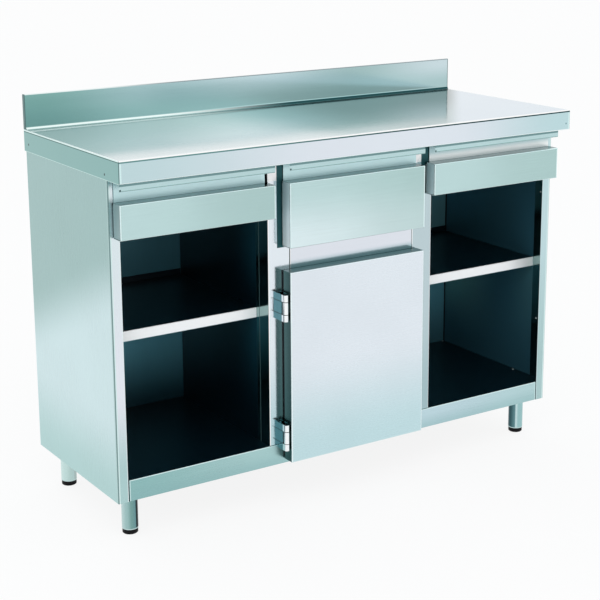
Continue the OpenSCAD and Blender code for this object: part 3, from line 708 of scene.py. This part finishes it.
# %% [markdown]
# ## The shelves and walls
# A shelf shows little more than its front edge, painted white as a highlight and made
# duller so that the light keeps it bright, with a slightly darker line at its foot. The
# dividers' walls and the back lie in the painted shade of the bays, where the back has
# the most painted light. The sheets that hardly show need no layers, and share one plain
# finish.

# %% Shelves
def shelf_layers(sheet):
    # Painted highlight on the shelf's front edge, painted shade behind it
    sheet.resurface(sheet.y.below(SHELF_FRONT + FOLD), sheet.colour, 0.1, 0.35)
    shade(sheet, sheet.y.above(SHELF_FRONT + FOLD), DEEP_SHADE)
    sheet.paint(sheet.z.below(SHELF_EDGE + 0.002), tone(206, 226, 228))


finishes["shelf"] = brushed(
    "shelf_steel", tone(255, 255, 255), "x", 0.24, shelf_layers, streaks=0.02, clouds=0.02
)
print("shelf edge", round((SHELF_Z - SHELF_EDGE) * 1000), "mm high")

# %% Walls and back
ALL_OVER = 1.0


def wall_layers(sheet):
    shade(sheet, ALL_OVER, sheet.blend(bay_light(sheet, 0.8, 0.3), DEEP_SHADE, POOL_OF_LIGHT))
    polished_strip(sheet, ALL_OVER)


def back_layers(sheet):
    y, z = sheet.y, sheet.z
    in_right = sheet.x.above(0.0)
    # Painted shade and light on the back of each bay
    lower = sheet.sweep(z, (0.17, tone(14, 56, 68)), (0.38, tone(100, 176, 196)))
    lower = sheet.blend(in_right * 0.3, lower, tone(120, 190, 208))
    upper = sheet.blend(in_right, tone(72, 130, 146), tone(104, 160, 170))
    upper = sheet.blend(z.below(SHELF_Z + 0.004), upper, tone(140, 190, 200))
    shade(sheet, ALL_OVER, sheet.blend(z.above(SHELF_Z), lower, upper))
    sheet.paint(y.above(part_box("back_panel")[0].y + 0.0008), tone(160, 186, 186))


# The dark base tones of the walls and the back are painted shade
finishes["wall"] = brushed("wall_steel", DEEP_SHADE, "z", 0.30, wall_layers)
finishes["back"] = brushed("back_steel", tone(8, 26, 32), "z", 0.30, back_layers)
finishes["sheet"] = brushed("plain_sheet_steel", tone(182, 196, 196), "x", 0.30)
print("finishes so far", len(finishes))

# %% [markdown]
# ## The drawer fronts
# A front is a shallow pan with a lip above it. The pan's face is painted with a soft
# gradient of light, paler low on the centre front and darker towards the right, and its
# sides turn away from the light, so they are painted as sides in shade. The painted
# tones of the sides are set for each front by itself, because each stands beside
# something else.

# %% Faces and sides of the pans
def on_face(sheet):
    return sheet.y.below(FACE_Y + 0.0012)


def behind_face(sheet):
    return sheet.y.above(FACE_Y + FOLD)


def pan_tones(sheet, low, high, side_top, side_foot):
    middle, half = (low.x + high.x) / 2, (high.x - low.x) / 2
    across = sheet.x - middle
    pale_top = sheet.z.ramp(0.92, 0.76) * sheet.x.size().below(0.25)
    sheet.paint(pale_top, tone(226, 243, 246))
    sheet.paint(across.ramp(-half, half) * 0.5, tone(160, 192, 188))
    side = sheet.blend(sheet.z.ramp(low.z, FACE_TOP), side_foot, side_top)
    shade(sheet, behind_face(sheet) * across.size().above(half - SKIN), side)


print("fronts from", round(FACE_Y, 4), "to", round(FRONT_REAR, 4))

# %% [markdown]
# The finger gap has a polished sheet behind it, whose pale tone is painted light. That of
# the right drawer is painted fading upwards, as the shade of the lip. A painted dark line
# marks the ledge at the gap's foot, and the lip is flat and pale, with a painted darker
# line under it and a painted shadow line where it meets the apron.

# %% Finger gap and lip
RIGHT_DRAWER_FROM = 0.25


def gap_layers(sheet):
    y, z = sheet.y, sheet.z
    gap = y.above(FRONT_REAR - 0.0016) * z.above(FACE_TOP + 0.0003)
    # Painted shade of the lip on the right drawer's gap
    lip_shade = sheet.sweep(
        z, (FACE_TOP + 0.008, tone(250, 255, 255)), (LIP_FOOT - 0.004, tone(178, 208, 212))
    )
    back = sheet.blend(sheet.x.above(RIGHT_DRAWER_FROM), tone(207, 238, 241), lip_shade)
    sheet.resurface(gap, back, 0.85, 0.34)
    ledge = behind_face(sheet) * z.between(FACE_TOP - 0.0008, FACE_TOP + 0.0004)
    sheet.paint(ledge, tone(84, 122, 126))


def lip_layers(sheet, low, high):
    face, z = on_face(sheet), sheet.z
    sheet.paint(face * z.above(LIP_FOOT - 0.001), tone(190, 219, 221))
    # Painted darker line at the lip's foot, and the painted shadow of the apron on its top
    sheet.paint(face * z.between(LIP_FOOT - 0.001, LIP_FOOT + 0.0025), tone(154, 186, 186))
    sheet.paint(face * z.above(high.z - 0.0088), tone(118, 152, 154))
    lip_dot = dot(sheet.x, z, (low.x + 0.003, LIP_FOOT + 0.0035), SMALL_DOT)
    sheet.paint(face * lip_dot, tone(30, 60, 62))


print("finger gap", round((LIP_FOOT - FACE_TOP) * 1000), "mm high")

# %% [markdown]
# Last come the painted highlights on the folds round the face. A function makes the
# layers of one front, because the three differ only in their places and in the painted
# tones of their sides.

# %% Drawer fronts
# Painted shade tones of each front's sides, at the top and at the foot
SIDES_OF = {
    "left_drawer": (tone(118, 150, 152), tone(142, 170, 172)),
    "centre_drawer": (tone(212, 236, 240), tone(240, 252, 254)),
    "right_drawer": (tone(205, 228, 230), tone(216, 232, 234)),
}


def pan_folds(sheet, low, high):
    face, z = on_face(sheet), sheet.z
    middle, half = (low.x + high.x) / 2, (high.x - low.x) / 2
    upright = z.below(FACE_TOP + 0.001) * (sheet.x - middle).size().above(half - 0.0028)
    sheet.paint(face * upright, tone(232, 252, 252))
    rolled = sheet.y.below(FACE_Y + FOLD) * z.between(FACE_TOP - 0.0026, FACE_TOP + 0.001)
    sheet.paint(rolled, tone(226, 250, 250))
    sheet.paint(face * z.below(low.z + 0.0018), tone(220, 240, 240))


def drawer_layers(name, side_top, side_foot):
    low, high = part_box(name)

    def layers(sheet):
        pan_tones(sheet, low, high, side_top, side_foot)
        gap_layers(sheet)
        lip_layers(sheet, low, high)
        pan_folds(sheet, low, high)

    return layers


for drawer, sides in SIDES_OF.items():
    front = drawer + "_front"
    layers = drawer_layers(front, *sides)
    # The teal in the fronts' base tone is painted reflection of the room
    finishes[drawer] = brushed(front + "_steel", tone(194, 222, 222), "x", 0.24, layers)
print("drawer fronts", list(SIDES_OF))

# %% [markdown]
# ## The door
# The door is the largest plain face, with hardly a streak in it. It is painted darker
# towards its foot as shade, and painted highlights run along its edges, its top fold and
# its foot. Its sides are painted dark as shade, and nearly black along their rear edge,
# which stands close to the posts. Its top and bottom faces behind the front are painted
# in shade as well.

# %% Door
# Painted shade for the top and bottom faces of the door's panels
TOP_AND_FOOT_SHADE = tone(62, 104, 108)


def door_layers(sheet):
    y, z = sheet.y, sheet.z
    low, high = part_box("door_outer_panel")
    off, face, behind = sheet.x.size(), on_face(sheet), behind_face(sheet)
    sheet.paint(z.ramp(0.44, 0.15), tone(196, 224, 229))
    side = sheet.blend(y.ramp(FACE_Y, FRONT_REAR), tone(50, 82, 82), tone(74, 108, 107))
    side = sheet.blend(y.above(FRONT_REAR - 0.004), side, tone(8, 20, 22))
    sheet.paint(behind * off.above(high.x - SKIN), side)
    sheet.paint(behind * z.above(high.z - SKIN), TOP_AND_FOOT_SHADE)
    sheet.paint(behind * z.below(low.z + SKIN), TOP_AND_FOOT_SHADE)
    sheet.paint(face * off.above(high.x - 0.0032), tone(236, 250, 252))
    sheet.paint(y.below(FACE_Y + FOLD) * z.above(high.z - 0.0022), tone(240, 252, 255))
    sheet.paint(face * z.below(low.z + 0.002), tone(214, 234, 236))


def inside_door(sheet):
    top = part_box("door_outer_panel")[1].z
    rim = sheet.y.below(FRONT_REAR - 0.0016)
    sheet.paint(rim, tone(90, 116, 118))
    sheet.paint(rim * sheet.z.above(top - SKIN), TOP_AND_FOOT_SHADE)


# The door's pale lavender base tone is painted reflection of the room
finishes["door"] = brushed(
    "door_steel", tone(228, 236, 243), "x", 0.26, door_layers,
    streaks=0.015, clouds=0.05, depth=0.01,
)
finishes["door_inside"] = brushed("door_inside_steel", tone(176, 198, 200), "x", 0.30, inside_door)

# %% [markdown]
# ## Hinges
# The hinge barrels are the brightest metal on the front, with dark ends painted as the
# shade and reflection on their tops. A barrel has a long knuckle between two short ones,
# and a thin dark gap on either side of it. The leaf behind the barrel has painted light
# and dark uprights, its reflection of the barrel.

# %% Hinges
HINGE_HEIGHT = 0.076
END_KNUCKLE = 0.020
KNUCKLE_RADIUS = 0.008
PIN_CAP = 0.002
PIN_REACH = 0.0062


def hinge_layers(sheet):
    z = sheet.z
    low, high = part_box("hinge_pins")
    axis = (low + high) / 2
    beside = sheet.x - axis.x
    # Painted reflection on the leaf, in light and dark uprights
    leaf = sheet.sweep(
        beside, (-0.0235, tone(104, 156, 160)), (-0.0155, tone(164, 208, 213)),
        (-0.0085, tone(96, 144, 152)), (-0.0015, tone(122, 174, 182)),
    )
    sheet.paint(sheet.y.above(axis.y + KNUCKLE_RADIUS + 0.0002), leaf)
    for foot in (low.z, high.z - PIN_CAP - HINGE_HEIGHT):
        # Painted shade and reflection on the barrel's top
        end = z.between(foot + HINGE_HEIGHT - 0.0006, foot + HINGE_HEIGHT + 0.003)
        sheet.paint(end * dot(sheet.x, sheet.y, axis, PIN_REACH), tone(20, 34, 36))
        for gap in (END_KNUCKLE, HINGE_HEIGHT - END_KNUCKLE):
            line = z.between(foot + gap - 0.0009, foot + gap + 0.0009)
            sheet.paint(line * beside.above(-KNUCKLE_RADIUS - 0.001), tone(30, 44, 46))


finishes["hinge"] = brushed(
    "hinge_chrome", tone(246, 250, 252), "round", 0.12, hinge_layers,
    streaks=0.01, clouds=0.02, depth=0.0,
)

# %% [markdown]
# ## Legs
# The leg tubes are brushed round. A round tube is light on one side and dark on the
# other, so its painted light and shade go by the distance from the tube's axis, measured
# across the direction that the camera looks in. The right legs are painted darker, as
# the counter's own shade, the rear left leg is painted paler, and each tube keeps a thin
# painted bright ring where it ends above its foot.

# %% Legs
LEG_TURN = 0.471
LEG_REACH = 0.04
# Painted light and shade across the tubes, for the left and the right legs
LEFT_LEG = [
    (-0.022, tone(190, 216, 216)), (-0.008, tone(160, 194, 193)), (0.006, tone(122, 163, 160)),
    (0.0155, tone(110, 152, 156)), (0.0175, tone(6, 26, 32)),
]
RIGHT_LEG = [
    (-0.022, tone(50, 84, 90)), (-0.008, tone(96, 136, 142)),
    (-0.004, tone(200, 226, 228)), (0.004, tone(158, 198, 200)),
]


def leg_layers(sheet):
    for name in ("front_left_leg", "front_right_leg", "rear_left_leg", "rear_right_leg"):
        low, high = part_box(name)
        middle = (low + high) / 2
        off_x, off_y = sheet.x - middle.x, sheet.y - middle.y
        here = off_x.size().below(LEG_REACH) * off_y.size().below(LEG_REACH)
        across = off_x * math.cos(LEG_TURN) - off_y * math.sin(LEG_TURN)
        sheet.paint(here, sheet.sweep(across, *(RIGHT_LEG if middle.x > 0 else LEFT_LEG)))
    rear_left = sheet.y.above(0) * sheet.x.below(0)
    sheet.paint(rear_left * 0.6, tone(218, 241, 238))
    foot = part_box("front_left_leg")[0].z
    sheet.paint(sheet.z.below(foot + 0.0025), tone(196, 220, 220))


finishes["tube"] = brushed(
    "tube_steel", tone(160, 202, 206), "round", 0.24, leg_layers, streaks=0.05, clouds=0.06
)

# %% [markdown]
# ## The small parts
# Runners, bars, screws, feet and buffers have one tone all over, so they need no
# layers. The feet are black plastic with little shine of their own.

# %% Finishes without layers
finishes["bar"] = brushed("bar_steel", tone(206, 214, 216), "x", 0.22)
finishes["runner"] = brushed("runner_zinc", tone(196, 204, 208), "x", 0.28)
finishes["bay_screw"] = moulded("bay_screw_steel", tone(220, 234, 236), 0.35, metal=0.2)
finishes["fastener"] = moulded("fastener_steel", tone(200, 206, 206), 0.30, metal=1.0)
finishes["plastic"] = moulded("black_plastic", tone(10, 12, 15), 0.55, shine=0.15)
finishes["rubber"] = moulded("black_rubber", tone(32, 32, 32), 0.75)
finishes["board"] = moulded("counter_board", tone(186, 164, 134), 0.65, grit=120.0)
finishes["core"] = moulded("core_board", tone(218, 206, 180), 0.80, grit=150.0)
print("finishes", len(finishes))

# %% [markdown]
# ## Which piece has which finish
# A name in the frame says what a piece is, so a short list of name endings gives each
# node its finish. The last ending is empty, and catches the plain hidden sheets.

# %% Dress the nodes
BY_ENDING = [
    ("worktop_board", "board"),
    ("worktop_screws", "fastener"),
    ("worktop", "worktop"),
    ("side_panel", "side"),
    ("left_drawer_front", "left_drawer"),
    ("centre_drawer_front", "centre_drawer"),
    ("right_drawer_front", "right_drawer"),
    ("door_outer_panel", "door"),
    ("door_inner_panel", "door_inside"),
    ("left_divider_post", "left_post"),
    ("right_divider_post", "right_post"),
    ("cross_rail", "cross"),
    ("base_tray", "base"),
    ("_shelf", "shelf"),
    ("divider_panel", "wall"),
    ("back_panel", "back"),
    ("runners", "runner"),
    ("knock_bar_sleeve", "rubber"),
    ("knock_bar", "bar"),
    ("hinge_leaves", "hinge"),
    ("hinge_pins", "hinge"),
    ("door_core", "core"),
    ("door_buffers", "rubber"),
    ("magnetic_catch", "plastic"),
    ("_leg", "tube"),
    ("_foot", "plastic"),
    ("leg_inserts", "plastic"),
    ("leg_bolts", "fastener"),
    ("leg_nuts", "fastener"),
    ("hinge_screws", "fastener"),
    ("strike_plate", "fastener"),
    ("", "sheet"),
]


def finish_of(name):
    return next(finish for ending, finish in BY_ENDING if name.endswith(ending))


def dress(piece, finish):
    piece.data.materials.clear()
    piece.data.materials.append(finishes[finish])


for name, node in nodes.items():
    dress(node, finish_of(name))
print({finish: sum(finish_of(name) == finish for name in nodes) for finish in finishes})

# %% [markdown]
# ## Softer edges
# No cut edge of a folded sheet is perfectly sharp, and the last half millimetre is
# what catches the light in a close view. The solids keep their sharp edges, so the
# sheets that show are copied, their loose triangles are merged back into faces, and a
# small bevel is applied to every edge that is sharper than a fold. Weighted normals
# then keep the large faces flat.

# %% Round the edges of a copy
EDGE = 0.0004
SHARP = math.radians(40)
FLAT = math.radians(1)
ROUND = math.radians(60)
SAME_PLACE = 0.000001


def only(piece):
    bpy.ops.object.select_all(action="DESELECT")
    piece.select_set(True)
    bpy.context.view_layer.objects.active = piece


def bevel_edges(piece, width):
    bevel = piece.modifiers.new("edge", "BEVEL")
    bevel.width = width
    bevel.segments = 2
    bevel.limit_method = "ANGLE"
    bevel.angle_limit = SHARP
    bpy.ops.object.modifier_apply(modifier="edge")


def soft_copy(name):
    piece = bpy.data.objects.new("soft_" + name, nodes[name].data.copy())
    bpy.context.scene.collection.objects.link(piece)
    only(piece)
    bpy.ops.object.mode_set(mode="EDIT")
    bpy.ops.mesh.select_all(action="SELECT")
    bpy.ops.mesh.remove_doubles(threshold=SAME_PLACE)
    bpy.ops.mesh.dissolve_limited(angle_limit=FLAT)
    bpy.ops.object.mode_set(mode="OBJECT")
    bevel_edges(piece, EDGE)
    bpy.ops.object.shade_smooth_by_angle(angle=ROUND)
    piece.modifiers.new("normals", "WEIGHTED_NORMAL").keep_sharp = True
    bpy.ops.object.modifier_apply(modifier="normals")
    return piece


print("edges are rounded by", EDGE * 1000, "mm")

# %% [markdown]
# A copy stands for its node and moves with the same body. The table lists each node's
# slot in the record, which names the real material.

# %% Replace the sheets that show
SHOWN = {
    "worktop": "worktop_steel",
    "left_side_panel": "satin_steel",
    "right_side_panel": "satin_steel",
    "left_divider_post": "mirror_steel",
    "right_divider_post": "mirror_steel",
    "base_tray": "satin_steel",
    "left_shelf": "satin_steel",
    "right_shelf": "satin_steel",
    "left_drawer_front": "drawer_steel",
    "centre_drawer_front": "drawer_steel",
    "right_drawer_front": "drawer_steel",
    "door_outer_panel": "door_steel",
    "fixed_hinge_leaves": "hinge_chrome",
    "door_hinge_leaves": "hinge_chrome",
    "front_left_foot": "black_plastic",
    "front_right_foot": "black_plastic",
    "rear_left_foot": "black_plastic",
    "rear_right_foot": "black_plastic",
}
for name, slot in SHOWN.items():
    piece = soft_copy(name)
    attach(piece, *body_of(nodes[name]))
    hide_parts(name)
    print(piece.name, len(piece.data.polygons), "faces")

# %% [markdown]
# ## Screws in the bays
# A few small screw heads show inside the right bay, near the front and on the floor.
# One head is a low cylinder with a recess pressed into its top. It is made once, lying
# on the floor, and every other head is a copy that is turned to its wall.

# %% Model one screw head
HEAD_RADIUS = 0.003
HEAD_HEIGHT = 0.0014
HEAD_ROUND = math.radians(30)


def screw_head():
    bpy.ops.object.select_all(action="DESELECT")
    bpy.ops.mesh.primitive_cylinder_add(vertices=24, radius=HEAD_RADIUS, depth=HEAD_HEIGHT)
    head = bpy.context.object
    head.name = "screw_head"
    bpy.ops.object.mode_set(mode="EDIT")
    bpy.ops.mesh.select_all(action="DESELECT")
    bpy.ops.object.mode_set(mode="OBJECT")
    for face in head.data.polygons:
        face.select = face.normal.z > 0.9
    bpy.ops.object.mode_set(mode="EDIT")
    bpy.ops.mesh.inset(thickness=HEAD_RADIUS * 0.5)
    down = (0, 0, -HEAD_HEIGHT * 0.6)
    bpy.ops.mesh.extrude_region_move(TRANSFORM_OT_translate={"value": down})
    bpy.ops.object.mode_set(mode="OBJECT")
    only(head)
    bevel_edges(head, HEAD_RADIUS * 0.12)
    bpy.ops.object.shade_smooth_by_angle(angle=HEAD_ROUND)
    return head


pattern_head = screw_head()
print("one head has", len(pattern_head.data.polygons), "faces")

# %% [markdown]
# Two heads are on the outer wall of each bay, one above the other, and two on its
# floor, one behind the other. Each place is turned and moved into the copy's mesh, so
# that its object stays at the origin.

# %% Copy it to its places
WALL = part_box("right_runner_spacer")[1].x
FLOOR_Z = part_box("base_tray")[1].z
FLOOR_SCREW_X = 0.738
WALL_SCREWS = {"high": (-0.186, 0.780), "low": (-0.184, 0.370)}
FLOOR_SCREWS = {"front": -0.090, "back": 0.276}
SINK = HEAD_HEIGHT / 2 - 0.0001
SIDES = {"right": 1, "left": -1}
heads = {}
for side, sign in SIDES.items():
    facing = Matrix.Rotation(math.radians(-90 * sign), 4, "Y")
    for level, (y, z) in WALL_SCREWS.items():
        heads[side + "_bay_screw_" + level] = (facing, (sign * (WALL - SINK), y, z))
for side, sign in SIDES.items():
    for end, y in FLOOR_SCREWS.items():
        place = (sign * FLOOR_SCREW_X, y, FLOOR_Z + SINK)
        heads[side + "_floor_screw_" + end] = (Matrix.Identity(4), place)
for name, (facing, place) in heads.items():
    head = bpy.data.objects.new(name, pattern_head.data.copy())
    bpy.context.scene.collection.objects.link(head)
    head.data.transform(Matrix.Translation(place) @ facing)
    dress(head, "bay_screw")
    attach(head, *body_of(nodes["base_tray"]))
bpy.data.objects.remove(pattern_head)
print("screw heads", list(heads))

# %% [markdown]
# ## Floor and light
# Steel shows what stands round it, so the room matters more than the colour of the
# metal. The floor is white paper: to the eye it is partly its own white, so that it
# runs into the background without a line, and partly lit, so that it keeps a shadow.

# %% Floor
FLOOR_SIZE = 40.0
FLOOR_DROP = 0.0005
OWN_WHITE = 0.88
bpy.ops.object.select_all(action="DESELECT")
bpy.ops.mesh.primitive_plane_add(size=FLOOR_SIZE, location=(0, 0, -FLOOR_DROP))
floor = bpy.context.object
floor.name = "floor"


def seen(tree):
    kinds = ("Is Camera Ray", "Is Glossy Ray", "Is Transmission Ray")
    by_camera, in_gloss, through = (tree.add("ShaderNodeLightPath", output=kind) for kind in kinds)
    return by_camera.larger(in_gloss).larger(through)


paper = bpy.data.materials.new("floor_paper")
paper_tree = Tree(paper)
lit = paper_tree.add(
    "ShaderNodeBsdfPrincipled", inputs={"Base Color": (0.97, 0.98, 0.99, 1.0), "Roughness": 0.9}
)
glow = paper_tree.add("ShaderNodeEmission", inputs={"Color": WHITE, "Strength": 1.0})
share = seen(paper_tree) * OWN_WHITE
mixed = paper_tree.add("ShaderNodeMixShader", inputs={0: share, 1: lit, 2: glow})
paper_tree.add("ShaderNodeOutputMaterial", inputs={"Surface": mixed})
floor.data.materials.append(paper)
print("floor", FLOOR_SIZE, "m wide")

# %% [markdown]
# The sky is white to the camera and in reflections, and a little softer and cooler to
# everything else.

# %% Sky
world = bpy.data.worlds.new("studio")
bpy.context.scene.world = world
sky = Tree(world)
cool = {"Color": (0.95, 0.98, 1.0, 1.0), "Strength": 0.86}
soft = sky.add("ShaderNodeBackground", inputs=cool)
white = sky.add("ShaderNodeBackground", inputs={"Color": WHITE, "Strength": 1.0})
both = sky.add("ShaderNodeMixShader", inputs={0: seen(sky), 1: soft, 2: white})
sky.add("ShaderNodeOutputWorld", inputs={"Surface": both})
print("sky strength", cool["Strength"])

# %% [markdown]
# One broad lamp gives the feet a soft shadow. It stays weak, so that no pale sheet
# burns out.

# %% Lamp
LAMP_PLACE = Vector((-2.0, -2.6, 3.6))
LAMP_AIM = Vector((0, 0, 0.5))
lamp_data = bpy.data.lights.new("key_lamp", "AREA")
lamp_data.size = 3.0
lamp_data.energy = 26.0
lamp = bpy.data.objects.new("key_lamp", lamp_data)
bpy.context.scene.collection.objects.link(lamp)
lamp.location = LAMP_PLACE
lamp.rotation_euler = (LAMP_AIM - LAMP_PLACE).to_track_quat("-Z", "Y").to_euler()
bpy.context.scene.view_settings.view_transform = "Standard"
print("lamp", lamp_data.energy, "W")
